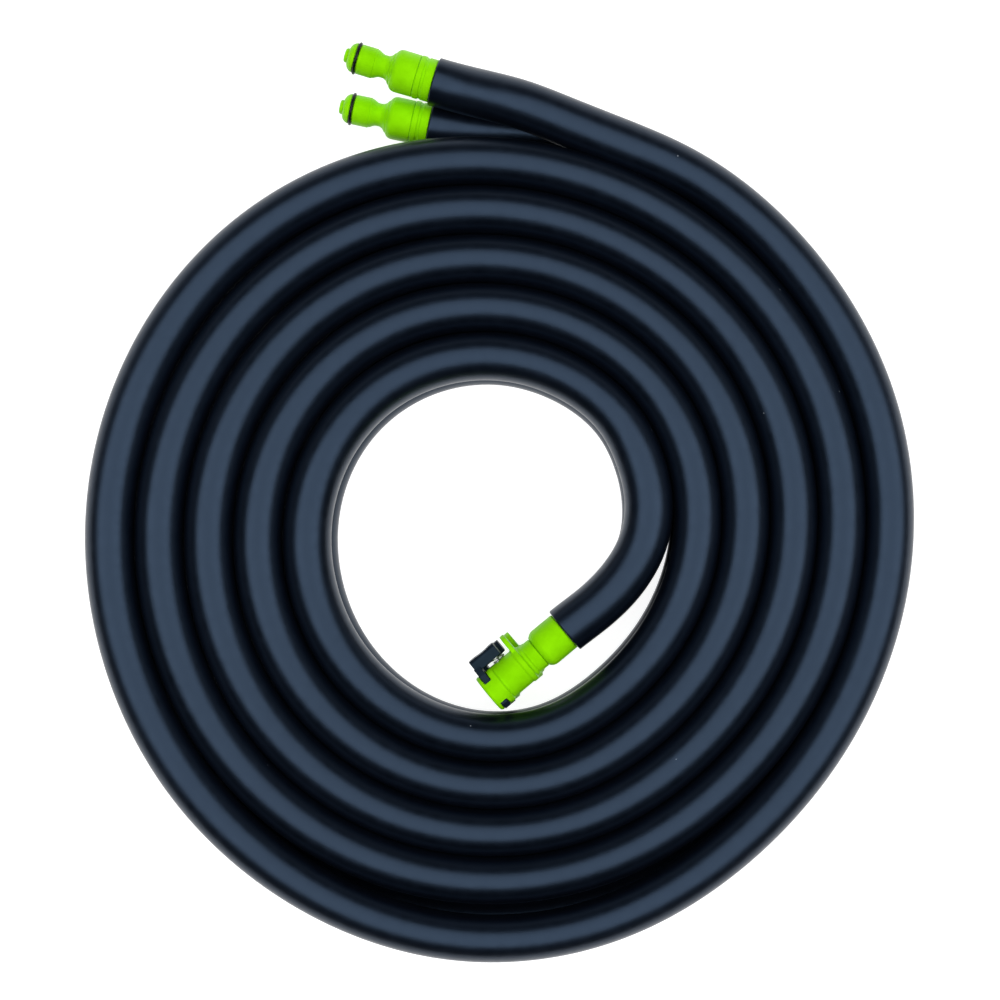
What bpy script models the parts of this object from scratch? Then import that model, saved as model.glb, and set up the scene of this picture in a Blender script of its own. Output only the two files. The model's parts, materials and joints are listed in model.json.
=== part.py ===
"""Insulated twin hose, coiled flat, with valved quick couplings.

Two foam-clad water hoses lie one on the other in a five-turn coil. Their inner ends
carry two thumb-latch coupling sockets, one above the other, that face -Y. Their outer
ends carry the two valved inserts that such sockets take.

Metres, +Z up. The origin is the middle of the object's footprint, on the floor.
A fitting is modelled along its own +Z, which runs from its mating end into the hose.
"""
import math

import bmesh
import bpy
from mathutils import Matrix, Vector

MM = 0.001
CLEAR = 0.3 * MM

# Where the coil's axis stands, from the middle of the footprint.
COIL_AXIS = Vector((10.23 * MM, -5.88 * MM, 0.0))

# Hose section: foam sleeve over a water tube. Neighbouring laps squeeze the foam.
FOAM_HALF_WIDTH = 11.6 * MM
FOAM_HALF_HEIGHT = 12.5 * MM
FOAM_BORE_RADIUS = 7.6 * MM
TUBE_RADIUS = 7.0 * MM
TUBE_BORE_RADIUS = 5.3 * MM
FOAM_SIDES = 10
TUBE_SIDES = 5

LOWER_HEIGHT = FOAM_HALF_HEIGHT
UPPER_HEIGHT = LOWER_HEIGHT + 2 * FOAM_HALF_HEIGHT + CLEAR

# The coil was laid by hand and is not round. These are the radius of its first lap
# and the growth of each further lap, every LAP_STEP degrees from +X, in millimetres.
LAP_STEP = 30
UPPER_LAP = (79.2, 80.2, 84.9, 89.2, 90.0, 90.5, 90.9, 91.0, 92.2, 96.4, 101.6, 105.5)
LOWER_LAP = (79.2, 80.2, 84.9, 88.6, 88.6, 88.8, 89.2, 89.2, 90.6, 95.4, 101.8, 106.1)
UPPER_GROWTH = (24.4, 24.6, 24.5, 24.0, 24.3, 25.2, 25.5, 25.3, 25.2, 25.2, 24.7, 24.1)
LOWER_GROWTH = (24.4, 24.6, 24.5, 24.0, 23.7, 24.0, 25.4, 25.3, 25.2, 25.2, 24.6, 24.0)
# The last lap bows outward by this many millimetres, around an angle, over a spread.
UPPER_BOW = 5.8
LOWER_BOW = 0.0
BOW_MIDDLE = 4 * 360.0 + 325
BOW_SPREAD = 33.0
COIL_FROM = 90.0
COIL_TO = 5 * 360.0 + 112.5
COIL_STATION = 22.5
# Corners of the coil's facets stand out by this much, so that their middles don't sink.
CORNER_RAISE = 1 / math.sqrt(math.cos(math.radians(COIL_STATION / 2)))

# Ends of the hoses, from the coil's axis, in millimetres, nearest the fitting first.
UPPER_IN = ((64.0, -1.2, 37.8), (64.6, 17.4, 37.8), (63.0, 36.0, 37.8),
            (56.4, 55.8, 37.8), (42.4, 72.8, 37.8), (22.2, 84.1, 37.8))
LOWER_IN = ((65.6, 0.6, 12.5), (66.2, 18.2, 12.5), (64.7, 36.8, 12.5),
            (57.6, 56.3, 12.5), (42.4, 72.7, 12.5), (22.1, 83.9, 12.5))
UPPER_OUT = ((-195.9, 127.5, 28.5), (-187.6, 133.1, 28.9), (-173.1, 143.0, 33.0),
             (-156.5, 153.9, 37.4), (-138.9, 163.8, 37.8), (-108.2, 180.6, 37.8))
LOWER_OUT = ((-181.9, 112.5, 12.5), (-172.6, 120.6, 12.5), (-160.7, 133.4, 12.5),
             (-149.7, 146.4, 12.5), (-135.6, 160.2, 12.5), (-108.2, 180.2, 12.5))

# Headings, in degrees from +X, from a fitting's mating end into its hose.
SOCKET_HEADING = 90.0
UPPER_INSERT_HEADING = 33.6
LOWER_INSERT_HEADING = 38.3

# Distances along a fitting from its mating end, in metres.
SOCKET_LENGTH = 50.6 * MM
SOCKET_TUBE_START = 39.8 * MM
INSERT_LENGTH = 47.8 * MM
INSERT_TUBE_START = 43.2 * MM

ROUND = 16
SMALL_ROUND = 10

# The latch plate slides in a slot across the socket's collar.
PLATE_FRONT = 2.3 * MM
PLATE_REAR = 5.9 * MM
PLATE_HALF_WIDTH = 9.2 * MM
PLATE_TONGUE_WIDTH = 7.9 * MM
LATCH_TRAVEL = 2.2 * MM
LATCH_HOLE_RADIUS = 8.2 * MM
LATCH_OFFSET = -2.2 * MM
BUTTON_UNDERSIDE = -12.3 * MM
BUTTON_TOP = -18.9 * MM
SOCKET_FLAT = -9.8 * MM
LATCH_SPRING_PLACE = 14.3 * MM
SPRING_SEAT = -9.0 * MM
SPRING_POCKET = -16.6 * MM
SPRING_POCKET_RADIUS = 2.7 * MM
FIN_FRONT = 22.7 * MM
FIN_REAR = 25.2 * MM
FIN_TIP = -18.7 * MM


# --- materials -------------------------------------------------------------------

def material(name, colour, roughness, metallic=0.0):
    made = bpy.data.materials.new(name)
    made.use_nodes = True
    shader = made.node_tree.nodes["Principled BSDF"]
    shader.inputs["Base Color"].default_value = (*colour, 1.0)
    shader.inputs["Roughness"].default_value = roughness
    shader.inputs["Metallic"].default_value = metallic
    return made


# --- mesh helpers ----------------------------------------------------------------

def add_object(name, mesh_data, parent, finish):
    """Turns a bmesh into a named object under parent, shaded smooth but for its corners."""
    bmesh.ops.recalc_face_normals(mesh_data, faces=mesh_data.faces)
    mesh = bpy.data.meshes.new(name)
    mesh_data.to_mesh(mesh)
    mesh_data.free()
    mesh.shade_smooth()
    mesh.set_sharp_from_angle(angle=math.radians(35))
    mesh.materials.append(finish)
    obj = bpy.data.objects.new(name, mesh)
    bpy.context.scene.collection.objects.link(obj)
    obj.parent = parent
    return obj


def add_empty(name, parent=None, place=(0, 0, 0), heading=None):
    """An empty. With a heading, its +Z lies level and points that way."""
    empty = bpy.data.objects.new(name, None)
    bpy.context.scene.collection.objects.link(empty)
    empty.parent = parent
    empty.location = place
    if heading is not None:
        empty.rotation_euler = (-math.pi / 2, 0, math.radians(heading - SOCKET_HEADING))
    return empty


def bridge(mesh_data, first, second):
    """Joins two rings of vertices, either of which may be a single point."""
    count = max(len(first), len(second))
    for i in range(count):
        j = (i + 1) % count
        if len(first) == 1:
            mesh_data.faces.new((first[0], second[j], second[i]))
        elif len(second) == 1:
            mesh_data.faces.new((first[i], first[j], second[0]))
        else:
            mesh_data.faces.new((first[i], first[j], second[j], second[i]))


def turned(profile, segments, closed):
    """A solid of revolution about +Z, from (radius, height) pairs in millimetres."""
    mesh_data = bmesh.new()
    rings = []
    for radius, height in profile:
        if radius == 0:
            rings.append([mesh_data.verts.new((0, 0, height * MM))])
            continue
        ring = []
        for i in range(segments):
            angle = 2 * math.pi * (i + 0.5) / segments
            spot = (radius * MM * math.cos(angle), radius * MM * math.sin(angle), height * MM)
            ring.append(mesh_data.verts.new(spot))
        rings.append(ring)
    pairs = list(zip(rings, rings[1:]))
    if closed:
        pairs.append((rings[-1], rings[0]))
    for first, second in pairs:
        bridge(mesh_data, first, second)
    return mesh_data


def torus(ring_radius, wire_radius, height, segments, sides):
    """An O-ring about +Z, sizes in millimetres."""
    profile = []
    for i in range(sides):
        angle = 2 * math.pi * (i + 0.5) / sides
        profile.append((ring_radius + wire_radius * math.cos(angle),
                        height + wire_radius * math.sin(angle)))
    return turned(profile, segments, closed=True)


def spring(ring_radius, wire_radius, start, end, turns):
    """A coil spring along +Z from start to end, sizes in millimetres."""
    steps_per_turn = 6
    wire_sides = 3
    mesh_data = bmesh.new()
    steps = int(turns * steps_per_turn)
    rise = (end - start - 2 * wire_radius) / steps
    rings = []
    for i in range(steps + 1):
        angle = 2 * math.pi * i / steps_per_turn
        out = Vector((math.cos(angle), math.sin(angle), 0))
        middle = out * ring_radius * MM
        middle.z = (start + wire_radius + rise * i) * MM
        ring = []
        for side in range(wire_sides):
            turn = 2 * math.pi * side / wire_sides
            offset = out * math.cos(turn) + Vector((0, 0, math.sin(turn)))
            ring.append(mesh_data.verts.new(middle + offset * wire_radius * MM))
        rings.append(ring)
    for first, second in zip(rings, rings[1:]):
        bridge(mesh_data, first, second)
    mesh_data.faces.new(rings[0])
    mesh_data.faces.new(rings[-1])
    return mesh_data


def block(low, high):
    """A box between two corners, in metres."""
    mesh_data = bmesh.new()
    size = Vector(high) - Vector(low)
    middle = (Vector(high) + Vector(low)) / 2
    bmesh.ops.create_cube(mesh_data, size=1.0, matrix=Matrix.Translation(middle) @ Matrix.Diagonal((*size, 1)))
    return mesh_data


def extruded(outline, start, end):
    """A prism along +Z over an (x, y) outline, in metres."""
    mesh_data = bmesh.new()
    bottom = [mesh_data.verts.new((x, y, start)) for x, y in outline]
    top = [mesh_data.verts.new((x, y, end)) for x, y in outline]
    bridge(mesh_data, bottom, top)
    mesh_data.faces.new(bottom)
    mesh_data.faces.new(top)
    return mesh_data


def rod_along_x(radius, start, end, height, segments):
    """A cylinder along X at a height up the fitting, in metres."""
    mesh_data = bmesh.new()
    turn = Matrix.Translation(((start + end) / 2, 0, height)) @ Matrix.Rotation(math.pi / 2, 4, "Y")
    bmesh.ops.create_cone(mesh_data, cap_ends=True, segments=segments, radius1=radius,
                          radius2=radius, depth=abs(end - start), matrix=turn)
    return mesh_data


def shape(target, mesh_data, operation, finish):
    """Adds or cuts a shape with a Boolean that stays on the target."""
    tool = add_object(target.name + "_tool_%d" % len(target.modifiers), mesh_data, target.parent, finish)
    tool.hide_render = True
    tool.display_type = "WIRE"
    boolean = target.modifiers.new(operation.title(), "BOOLEAN")
    boolean.operation = operation
    boolean.solver = "EXACT"
    boolean.object = tool


# --- hoses -----------------------------------------------------------------------

def around(values, degrees):
    """Smooth value at an angle, from one value per LAP_STEP. The list closes on itself."""
    place = degrees / LAP_STEP
    i = math.floor(place)
    f = place - i
    before, here, after, beyond = (values[(i + k) % len(values)] for k in (-1, 0, 1, 2))
    slope_here = (after - before) / 2
    slope_after = (beyond - here) / 2
    return (here * (1 + 2 * f) * (1 - f) ** 2 + slope_here * f * (1 - f) ** 2
            + after * f * f * (3 - 2 * f) - slope_after * f * f * (1 - f))


def coil_point(degrees, lap, growth, bow, height):
    """A point of the coil, counted in degrees from +X in its first lap."""
    # The first lap meets the second where +X comes round, so its seam is evened out.
    level = [radius - growth[i] * i * LAP_STEP / 360 for i, radius in enumerate(lap)]
    radius = around(level, degrees % 360) + around(growth, degrees % 360) * degrees / 360
    radius += bow * math.exp(-((degrees - BOW_MIDDLE) / BOW_SPREAD) ** 2)
    radius *= CORNER_RAISE
    angle = math.radians(degrees)
    return Vector((radius * MM * math.cos(angle), radius * MM * math.sin(angle), height))


def hose_route(inner, outer, lap, growth, bow, height):
    """Points along a hose's middle, from its socket end to its insert end."""
    route = [Vector(point) * MM for point in inner]
    degrees = COIL_FROM
    while degrees <= COIL_TO:
        route.append(coil_point(degrees, lap, growth, bow, height))
        degrees += COIL_STATION
    route.extend(Vector(point) * MM for point in reversed(outer))
    return route


def level_heading(degrees):
    return Vector((math.cos(math.radians(degrees)), math.sin(math.radians(degrees)), 0))


def swept(route, first_way, last_way, sections):
    """A hollow hose along a route. sections are (half width, half height, sides) of its
    outside and of its bore. The ways are the headings of its two end faces."""
    mesh_data = bmesh.new()
    skins = [[] for _ in sections]
    for i, spot in enumerate(route):
        back = first_way if i == 0 else (spot - route[i - 1]).normalized()
        ahead = last_way if i == len(route) - 1 else (route[i + 1] - spot).normalized()
        if i == 0:
            way = first_way
        elif i == len(route) - 1:
            way = last_way
        else:
            way = (back + ahead).normalized()
        side = way.cross(Vector((0, 0, 1))).normalized()
        up = side.cross(way)
        mitre = 1 / max(0.9, way.dot(ahead))
        for skin, (half_width, half_height, sides) in zip(skins, sections):
            ring = []
            for k in range(sides):
                angle = 2 * math.pi * k / sides
                across = side * math.cos(angle) * half_width * mitre
                ring.append(mesh_data.verts.new(spot + across + up * math.sin(angle) * half_height))
            skin.append(ring)
    for skin in skins:
        for first, second in zip(skin, skin[1:]):
            bridge(mesh_data, first, second)
    for end in (0, -1):
        outside, bore = skins[0][end], skins[1][end]
        share = len(outside) // len(bore)
        for k, corner in enumerate(bore):
            rim = [outside[(share * k + step) % len(outside)] for step in range(share + 1)]
            mesh_data.faces.new([corner, *rim, bore[(k + 1) % len(bore)]])
    return mesh_data


def add_hose(level, route, insert_heading, frame, finishes):
    """One foam sleeve and the water tube inside it, which reaches into both fittings."""
    first_way = level_heading(SOCKET_HEADING)
    last_way = -level_heading(insert_heading)
    foam_route = list(route)
    foam_route[0] = route[0] + first_way * CLEAR
    foam_route[-1] = route[-1] - last_way * CLEAR
    top_corner = FOAM_HALF_HEIGHT / math.cos(math.pi / FOAM_SIDES)
    foam = swept(foam_route, first_way, last_way,
                 ((FOAM_HALF_WIDTH, top_corner, FOAM_SIDES),
                  (FOAM_BORE_RADIUS, FOAM_BORE_RADIUS, TUBE_SIDES)))
    add_object(level + "_foam_sleeve", foam, frame, finishes["foam"])
    tube_route = [route[0] - first_way * (SOCKET_LENGTH - SOCKET_TUBE_START)] + list(route)
    tube_route.append(route[-1] + last_way * (INSERT_LENGTH - INSERT_TUBE_START))
    tube = swept(tube_route, first_way, last_way,
                 ((TUBE_RADIUS, TUBE_RADIUS, TUBE_SIDES),
                  (TUBE_BORE_RADIUS, TUBE_BORE_RADIUS, TUBE_SIDES)))
    add_object(level + "_water_tube", tube, frame, finishes["tube"])


# --- parts that both kinds of fitting have -----------------------------------------

def hose_stem(start):
    """Flanged stem with two barbs, which the water tube is pushed over."""
    profile = [(2.6, start), (7.4, start), (7.4, start + 1.4), (3.5, start + 1.4)]
    for barb in range(2):
        foot = start + 4.6 + 4.6 * barb
        profile.extend(((3.4, foot), (3.95, foot), (3.4, foot + 3.5)))
    profile.append((2.6, start + 14.0))
    return turned(profile, SMALL_ROUND, closed=True)


def grip_ring(start, end):
    """Plain clamping ring between the water tube and the nut."""
    return turned(((7.5, start), (8.3, start), (8.3, end), (7.5, end)), SMALL_ROUND + 2, closed=True)


# --- socket with thumb latch -------------------------------------------------------

def socket_body(name, frame, finish):
    """Collar, barrel, finger fin and neck in one moulding, bored for insert and valve."""
    profile = ((10.4, 0), (11.0, 0.6), (11.0, 9.0), (10.9, 9.3), (10.0, 9.9), (9.9, 22.2),
               (10.4, 22.7), (10.4, 25.2), (9.2, 25.8), (8.9, 27.4), (8.4, 27.8), (8.4, 33.4),
               (7.5, 33.4), (7.5, 37.4), (6.2, 37.4), (6.2, 25.8), (4.6, 25.8), (4.6, 24.6),
               (8.1, 24.6), (8.1, 0.9), (8.9, 0))
    body = add_object(name, turned(profile, ROUND, closed=True), frame, finish)
    fin_outline = ((-8.4 * MM, -6.2 * MM), (-8.4 * MM, 6.2 * MM), (-14.0 * MM, 6.0 * MM),
                   (FIN_TIP + 1.6 * MM, 4.4 * MM), (FIN_TIP, 2.0 * MM), (FIN_TIP, -2.0 * MM),
                   (FIN_TIP + 1.6 * MM, -4.4 * MM), (-14.0 * MM, -6.0 * MM))
    shape(body, extruded(fin_outline, FIN_FRONT, FIN_REAR), "UNION", finish)
    gap = CLEAR
    low_z = PLATE_FRONT - gap
    high_z = PLATE_REAR + gap
    slot_width = PLATE_HALF_WIDTH + gap
    tongue_width = PLATE_TONGUE_WIDTH + gap
    step = 2.0 * MM + LATCH_TRAVEL + gap
    slot = ((-14.0 * MM, -slot_width), (step, -slot_width), (step, -tongue_width),
            (14.0 * MM, -tongue_width), (14.0 * MM, tongue_width), (step, tongue_width),
            (step, slot_width), (-14.0 * MM, slot_width))
    shape(body, extruded(slot, low_z, high_z), "DIFFERENCE", finish)
    flat = block((-14.0 * MM, -12.0 * MM, -1.0 * MM), (SOCKET_FLAT, 12.0 * MM, 22.1 * MM))
    shape(body, flat, "DIFFERENCE", finish)
    recess = rod_along_x(SPRING_POCKET_RADIUS, -14.0 * MM, SPRING_SEAT, LATCH_SPRING_PLACE, SMALL_ROUND)
    shape(body, recess, "DIFFERENCE", finish)
    return body


def latch_plate(name, frame, finish):
    """Thumb button on a plate whose hole the insert passes. Modelled released, at rest."""
    step = 2.0 * MM
    tip = 11.2 * MM
    wide = PLATE_HALF_WIDTH
    narrow = PLATE_TONGUE_WIDTH
    outline = ((BUTTON_UNDERSIDE - 2.0 * MM, -7.4 * MM), (-9.6 * MM, -wide), (step, -wide),
               (step, -narrow), (8.4 * MM, -narrow), (tip, -4.8 * MM), (tip, 4.8 * MM),
               (8.4 * MM, narrow), (step, narrow), (step, wide), (-9.6 * MM, wide),
               (BUTTON_UNDERSIDE - 2.0 * MM, 7.4 * MM))
    latch = add_object(name, extruded(outline, PLATE_FRONT, PLATE_REAR), frame, finish)
    hole = bmesh.new()
    centre = Matrix.Translation((LATCH_OFFSET, 0, (PLATE_FRONT + PLATE_REAR) / 2))
    bmesh.ops.create_cone(hole, cap_ends=True, segments=ROUND, radius1=LATCH_HOLE_RADIUS,
                          radius2=LATCH_HOLE_RADIUS, depth=10 * MM, matrix=centre)
    shape(latch, hole, "DIFFERENCE", finish)
    pad = ((BUTTON_UNDERSIDE, 7.4), (BUTTON_TOP + 1.4 * MM, 7.4), (BUTTON_TOP, 6.0),
           (BUTTON_TOP, -6.0), (BUTTON_TOP + 1.4 * MM, -7.4), (BUTTON_UNDERSIDE, -7.4))
    pad_outline = [(x, y * MM) for x, y in pad]
    shape(latch, extruded(pad_outline, PLATE_FRONT + 0.5 * MM, 18.2 * MM), "UNION", finish)
    pocket = rod_along_x(SPRING_POCKET_RADIUS, SPRING_POCKET, SPRING_SEAT, LATCH_SPRING_PLACE, SMALL_ROUND)
    shape(latch, pocket, "DIFFERENCE", finish)
    return latch


def latch_spring(name, frame, finish):
    """Return spring between the socket's barrel and the button, along X."""
    coil = spring(2.0, 0.3, 0.0, (SPRING_SEAT - SPRING_POCKET) / MM - 0.6, 4)
    obj = add_object(name, coil, frame, finish)
    obj.location = (SPRING_POCKET + CLEAR, 0, LATCH_SPRING_PLACE)
    obj.rotation_euler = (0, math.pi / 2, 0)
    return obj


def socket_nut():
    """Rear shell that holds the stem in the socket and clamps the water tube."""
    profile = ((7.9, 33.7), (8.8, 33.7), (10.6, 37.0), (10.6, 49.6), (10.2, 50.3),
               (8.8, 50.3), (8.8, 39.6), (7.9, 39.6))
    return turned(profile, ROUND, closed=True)


def add_socket(level, place, frame, finishes):
    """A complete latching socket. Its mating face is at place, and it faces -Y."""
    base = add_empty(level + "_socket_frame", frame, place, SOCKET_HEADING)
    latch_axis = add_empty(level + "_latch_axis", base)
    valve_axis = add_empty(level + "_socket_valve_axis", base)
    socket_body(level + "_socket_body", base, finishes["green"])
    latch_plate(level + "_latch", latch_axis, finishes["black"])
    latch_spring(level + "_latch_spring", latch_axis, finishes["steel"])
    valve = ((0, 24.4), (3.7, 24.4), (3.7, 27.1), (5.6, 27.1), (5.6, 28.8), (3.4, 29.0),
             (3.2, 31.4), (0, 31.4))
    add_object(level + "_socket_valve", turned(valve, SMALL_ROUND, closed=False), valve_axis,
               finishes["black"])
    seal = ((4.05, 26.1), (5.4, 26.1), (5.4, 26.8), (4.05, 26.8))
    add_object(level + "_socket_valve_seal", turned(seal, SMALL_ROUND, closed=True), valve_axis,
               finishes["rubber"])
    add_object(level + "_socket_valve_spring", spring(4.6, 0.35, 29.3, 37.5, 4), valve_axis,
               finishes["steel"])
    add_object(level + "_socket_stem", hose_stem(37.8), base, finishes["stem"])
    add_object(level + "_socket_nut", socket_nut(), base, finishes["green"])
    add_object(level + "_socket_grip_ring", grip_ring(42.0, 48.0), base, finishes["steel"])


# --- insert --------------------------------------------------------------------------

def insert_body():
    """Nose, O-ring groove, barrel, latch groove and flared shoulder, bored for its valve."""
    outside = [(4.1, 1.9), (4.7, 2.0), (6.3, 2.7), (7.4, 4.2), (7.8, 5.6), (6.9, 5.6), (6.9, 7.7),
               (7.8, 7.7), (7.8, 15.2), (7.5, 17.2), (6.6, 18.4), (5.95, 20.4), (5.95, 22.2),
               (6.7, 23.8), (8.6, 25.2), (10.3, 26.8), (11.1, 29.0), (11.0, 38.5)]
    inside = [(7.5, 38.5), (7.5, 40.9), (4.0, 40.9), (4.0, 18.0), (5.4, 18.0), (5.4, 4.9),
              (4.1, 4.9)]
    return turned(outside + inside, ROUND, closed=True)


def insert_nut():
    """Ribbed rear nut of the insert."""
    profile = ((7.9, 38.8), (10.9, 38.8), (11.2, 39.4), (11.2, 41.4), (10.7, 41.9), (10.7, 43.0),
               (11.1, 43.5), (11.1, 47.5), (8.8, 47.5), (8.8, 43.0), (7.9, 43.0))
    return turned(profile, ROUND, closed=True)


def add_insert(level, place, heading, frame, finishes):
    """A complete valved insert. Its nose tip is at place, heading runs into the hose."""
    base = add_empty(level + "_insert_frame", frame, place, heading)
    valve_axis = add_empty(level + "_insert_valve_axis", base)
    add_object(level + "_insert_body", insert_body(), base, finishes["green"])
    add_object(level + "_insert_o_ring", torus(7.9, 0.62, 6.65, ROUND, 5), base,
               finishes["rubber"])
    valve = ((0, 0), (3.0, 0), (3.75, 0.7), (3.75, 5.2), (5.0, 5.2), (5.0, 7.3), (2.9, 7.5),
             (2.7, 10.0), (0, 10.0))
    add_object(level + "_insert_valve", turned(valve, SMALL_ROUND, closed=False), valve_axis,
               finishes["green"])
    add_object(level + "_insert_valve_spring", spring(4.3, 0.35, 7.6, 17.7, 5), valve_axis,
               finishes["steel"])
    add_object(level + "_insert_stem", hose_stem(41.3), base, finishes["stem"])
    add_object(level + "_insert_nut", insert_nut(), base, finishes["green"])
    add_object(level + "_insert_grip_ring", grip_ring(44.0, 47.0), base, finishes["steel"])


# --- assembly ------------------------------------------------------------------------

def build():
    for old in list(bpy.data.objects):
        bpy.data.objects.remove(old, do_unlink=True)
    finishes = {
        "foam": material("foam", (0.030, 0.040, 0.058), 0.75),
        "tube": material("water_tube", (0.45, 0.47, 0.50), 0.45),
        "green": material("green_plastic", (0.30, 0.82, 0.01), 0.4),
        "black": material("black_plastic", (0.012, 0.016, 0.024), 0.4),
        "rubber": material("black_rubber", (0.010, 0.012, 0.014), 0.5),
        "stem": material("white_plastic", (0.60, 0.61, 0.60), 0.4),
        "steel": material("steel", (0.62, 0.61, 0.58), 0.3, metallic=1.0),
    }
    frame = add_empty("coil_axis", place=COIL_AXIS)
    levels = (
        ("upper", (UPPER_IN, UPPER_OUT, UPPER_LAP, UPPER_GROWTH, UPPER_BOW, UPPER_HEIGHT),
         UPPER_INSERT_HEADING),
        ("lower", (LOWER_IN, LOWER_OUT, LOWER_LAP, LOWER_GROWTH, LOWER_BOW, LOWER_HEIGHT),
         LOWER_INSERT_HEADING),
    )
    for level, lay, heading in levels:
        route = hose_route(*lay)
        add_hose(level, route, heading, frame, finishes)
        socket_face = route[0] - level_heading(SOCKET_HEADING) * SOCKET_LENGTH
        add_socket(level, socket_face, frame, finishes)
        nose_tip = route[-1] - level_heading(heading) * INSERT_LENGTH
        add_insert(level, nose_tip, heading, frame, finishes)


build()
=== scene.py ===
"""Looks for an insulated twin water hose, coiled flat, with valved quick couplings.

Two foam-clad hoses lie one on the other in five turns. The thumb-latch sockets on their
inner ends face -Y in the coil's hole, and the inserts on their outer ends lie outside it.

Everything is in the CAD's frame. Fittings are modelled in millimetres along their own
+Z, from the mating end into the hose, and then placed; hoses are modelled in metres.
"""
import json
import math

import bmesh
import bpy
import numpy as np
from mathutils import Matrix, Vector

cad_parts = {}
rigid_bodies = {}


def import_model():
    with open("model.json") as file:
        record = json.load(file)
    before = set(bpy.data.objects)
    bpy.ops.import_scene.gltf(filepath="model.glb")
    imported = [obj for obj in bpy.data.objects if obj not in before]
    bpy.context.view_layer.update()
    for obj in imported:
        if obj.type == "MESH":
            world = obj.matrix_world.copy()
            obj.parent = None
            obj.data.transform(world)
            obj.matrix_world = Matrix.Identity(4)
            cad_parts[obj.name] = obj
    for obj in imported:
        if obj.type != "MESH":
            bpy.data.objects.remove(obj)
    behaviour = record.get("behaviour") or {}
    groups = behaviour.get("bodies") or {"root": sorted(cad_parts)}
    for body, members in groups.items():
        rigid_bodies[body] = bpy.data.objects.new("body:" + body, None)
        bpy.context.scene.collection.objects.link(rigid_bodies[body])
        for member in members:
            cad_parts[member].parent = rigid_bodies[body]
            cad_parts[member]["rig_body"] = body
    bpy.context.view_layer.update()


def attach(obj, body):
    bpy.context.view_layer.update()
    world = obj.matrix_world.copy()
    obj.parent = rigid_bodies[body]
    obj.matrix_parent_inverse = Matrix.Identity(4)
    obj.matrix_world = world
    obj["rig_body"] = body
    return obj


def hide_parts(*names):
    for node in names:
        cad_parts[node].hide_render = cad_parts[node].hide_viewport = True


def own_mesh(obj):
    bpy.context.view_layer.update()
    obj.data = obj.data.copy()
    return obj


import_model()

MM = 0.001
ROOT = "hose_set"

# --- the hoses' route, as in the CAD -------------------------------------------------

COIL_AXIS = Vector((10.23 * MM, -5.88 * MM, 0.0))
LOWER_HEIGHT = 12.5 * MM
UPPER_HEIGHT = 37.8 * MM
# The coil is not round. These rows give the radius of its first lap and the growth of each
# further lap, every LAP_STEP degrees from +X, in millimetres. They and the end points below
# were first worked out by a separate measuring script, and then adjusted by hand.
LAP_STEP = 30
UPPER_LAP = (79.2, 80.2, 84.9, 89.2, 90.0, 90.5, 90.9, 91.0, 92.2, 96.4, 101.6, 105.5)
LOWER_LAP = (79.2, 80.2, 84.9, 88.6, 88.6, 88.8, 89.2, 89.2, 90.6, 95.4, 101.8, 106.1)
UPPER_GROWTH = (24.4, 24.6, 24.5, 24.0, 24.3, 25.2, 25.5, 25.3, 25.2, 25.2, 24.7, 24.1)
LOWER_GROWTH = (24.4, 24.6, 24.5, 24.0, 23.7, 24.0, 25.4, 25.3, 25.2, 25.2, 24.6, 24.0)
# The last lap bows outward by this many millimetres, around an angle, over a spread.
UPPER_BOW = 5.8
LOWER_BOW = 0.0
BOW_MIDDLE = 4 * 360.0 + 325
BOW_SPREAD = 33.0
COIL_FROM = 90.0
COIL_TO = 5 * 360.0 + 112.5
COIL_STATION = 22.5

UPPER_IN = ((64.0, -1.2, 37.8), (64.6, 17.4, 37.8), (63.0, 36.0, 37.8),
            (56.4, 55.8, 37.8), (42.4, 72.8, 37.8), (22.2, 84.1, 37.8))
LOWER_IN = ((65.6, 0.6, 12.5), (66.2, 18.2, 12.5), (64.7, 36.8, 12.5),
            (57.6, 56.3, 12.5), (42.4, 72.7, 12.5), (22.1, 83.9, 12.5))
UPPER_OUT = ((-195.9, 127.5, 28.5), (-187.6, 133.1, 28.9), (-173.1, 143.0, 33.0),
             (-156.5, 153.9, 37.4), (-138.9, 163.8, 37.8), (-108.2, 180.6, 37.8))
LOWER_OUT = ((-181.9, 112.5, 12.5), (-172.6, 120.6, 12.5), (-160.7, 133.4, 12.5),
             (-149.7, 146.4, 12.5), (-135.6, 160.2, 12.5), (-108.2, 180.2, 12.5))
SOCKET_HEADING = 90.0
UPPER_INSERT_HEADING = 33.6
LOWER_INSERT_HEADING = 38.3

SOCKET_LENGTH = 50.6
SOCKET_TUBE_START = 39.8
INSERT_LENGTH = 47.8
INSERT_TUBE_START = 43.2

# How long the spring behind the latch button is at rest.
LATCH_SPRING_LENGTH = 7.0

FOAM_RADIUS = 12.5 * MM
FOAM_BORE = 7.6 * MM
TUBE_RADIUS = 7.0 * MM
TUBE_BORE = 5.3 * MM
SPACING = 4.0 * MM
FOAM_LIP = 0.6 * MM
TUBE_LIP = 0.3 * MM

SEGMENTS = 96


# --- material helpers ----------------------------------------------------------------

def new_material(name, colour, roughness, **sockets):
    made = bpy.data.materials.new(name)
    made.use_nodes = True
    shader = made.node_tree.nodes["Principled BSDF"]
    shader.inputs["Base Color"].default_value = (*colour, 1.0)
    shader.inputs["Roughness"].default_value = roughness
    for socket, value in sockets.items():
        shader.inputs[socket.replace("_", " ")].default_value = value
    return made, made.node_tree, shader


def node(tree, kind, inputs=(), **settings):
    made = tree.nodes.new("ShaderNode" + kind)
    for key, value in settings.items():
        setattr(made, key, value)
    for socket, value in dict(inputs).items():
        if isinstance(value, bpy.types.NodeSocket):
            tree.links.new(value, made.inputs[socket])
        else:
            made.inputs[socket].default_value = value
    return made


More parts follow.
